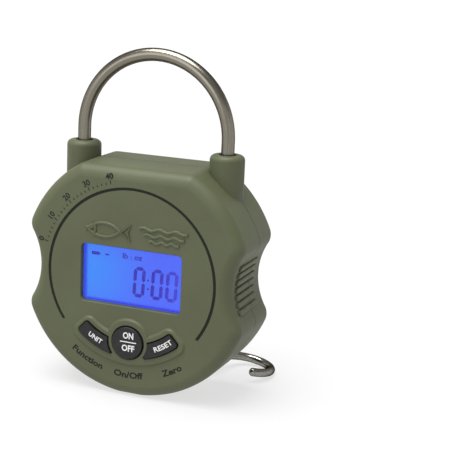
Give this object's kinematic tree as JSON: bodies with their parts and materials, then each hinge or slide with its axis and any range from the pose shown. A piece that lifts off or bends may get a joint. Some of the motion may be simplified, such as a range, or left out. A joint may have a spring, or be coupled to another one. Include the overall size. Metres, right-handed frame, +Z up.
{
  "type": "digital fish scale",
  "caption": "Hand-held digital fish scale: round clamshell case on a bent steel rod handle, with press keys, a backlit display and a swivelling hook that folds into a bay behind.",
  "frame": {"origin": "on the standing flat under the front shell, midway across it", "axes": "+X to the right of somebody reading the display, +Y from the face to the back, +Z up towards the handle"},
  "size_m": [0.1068, 0.0708, 0.1586],
  "materials": {
    "olive_shell": "matt moulded shell with a fine texture",
    "key_rubber": "satin black rubber",
    "seal_rubber": "matt black rubber",
    "clear_lens": "clear window over a blue light",
    "display_blue": "lit blue liquid-crystal panel",
    "diffuser": "white light plate",
    "inner_plastic": "black moulding",
    "board_green": "green lacquered board",
    "satin_steel": "satin stainless rod",
    "hook_steel": "polished stainless wire",
    "beam_aluminium": "machined",
    "gauge_foil": "foil gauge under lacquer",
    "zinc_screw": "zinc-plated fastener",
    "cell_wrap": "plain printed wrap",
    "contact_nickel": "nickel-plated contact",
    "red_lead": "red insulation",
    "black_lead": "black insulation",
    "bush_nylon": "natural nylon"
  },
  "bodies": {
    "case": {"front_shell": "olive_shell", "rear_shell": "olive_shell", "case_seal_left": "seal_rubber", "case_seal_right": "seal_rubber", "case_seal_top": "seal_rubber", "rod_seal_left": "seal_rubber", "rod_seal_right": "seal_rubber", "display_lens": "clear_lens", "lcd_panel": "display_blue", "backlight_plate": "diffuser", "lcd_holder": "inner_plastic", "unit_switch": "inner_plastic", "power_switch": "inner_plastic", "reset_switch": "inner_plastic", "main_board": "board_green", "handle_rod": "satin_steel", "load_beam": "beam_aluminium", "strain_gauge_left": "gauge_foil", "strain_gauge_right": "gauge_foil", "leg_washer_left": "zinc_screw", "leg_washer_right": "zinc_screw", "handle_nut_left": "zinc_screw", "handle_nut_right": "zinc_screw", "thrust_washer": "zinc_screw", "stem_bush": "bush_nylon", "battery_upper": "cell_wrap", "battery_lower": "cell_wrap", "battery_spring_upper": "contact_nickel", "battery_spring_lower": "contact_nickel", "contact_link": "contact_nickel", "contact_upper": "contact_nickel", "contact_lower": "contact_nickel", "battery_lead_red": "red_lead", "battery_lead_black": "black_lead", "gauge_lead": "black_lead", "case_screw_1": "zinc_screw", "case_screw_2": "zinc_screw", "case_screw_3": "zinc_screw", "case_screw_4": "zinc_screw", "case_screw_5": "zinc_screw", "case_screw_6": "zinc_screw", "board_screw_1": "zinc_screw", "board_screw_2": "zinc_screw", "board_screw_3": "zinc_screw", "board_screw_4": "zinc_screw"},
    "swivel": {"swivel_bolt": "hook_steel", "swivel_nut": "zinc_screw", "hook_pin": "hook_steel"},
    "hook": {"hook": "hook_steel"},
    "unit_key": {"unit_button": "key_rubber"},
    "power_key": {"power_button": "key_rubber"},
    "reset_key": {"reset_button": "key_rubber"},
    "battery_lid": {"battery_door": "olive_shell"}
  },
  "joints": [
    {"name": "hook_swivel", "type": "hinge", "parent": "case", "child": "swivel", "pos_m": [0, 0.0126, 0.0145], "axis": [0, 0, 1], "range_deg": [-3.5, 95]},
    {"name": "hook_fold", "type": "hinge", "parent": "swivel", "child": "hook", "pos_m": [0, 0.0126, 0.0145], "axis": [-0.639, 0.7692, 0], "range_deg": [-16, 90]},
    {"name": "unit_press", "type": "slide", "parent": "case", "child": "unit_key", "axis": [0, 1, 0], "range_m": [0, 0.0008], "stiffness_N_per_m": 400},
    {"name": "power_press", "type": "slide", "parent": "case", "child": "power_key", "axis": [0, 1, 0], "range_m": [0, 0.0008], "stiffness_N_per_m": 400},
    {"name": "reset_press", "type": "slide", "parent": "case", "child": "reset_key", "axis": [0, 1, 0], "range_m": [0, 0.0008], "stiffness_N_per_m": 400},
    {"name": "battery_lid_hinge", "type": "hinge", "parent": "case", "child": "battery_lid", "pos_m": [0, 0.02915, 0.0613], "axis": [-1, 0, 0], "range_deg": [0, 90]}
  ]
}
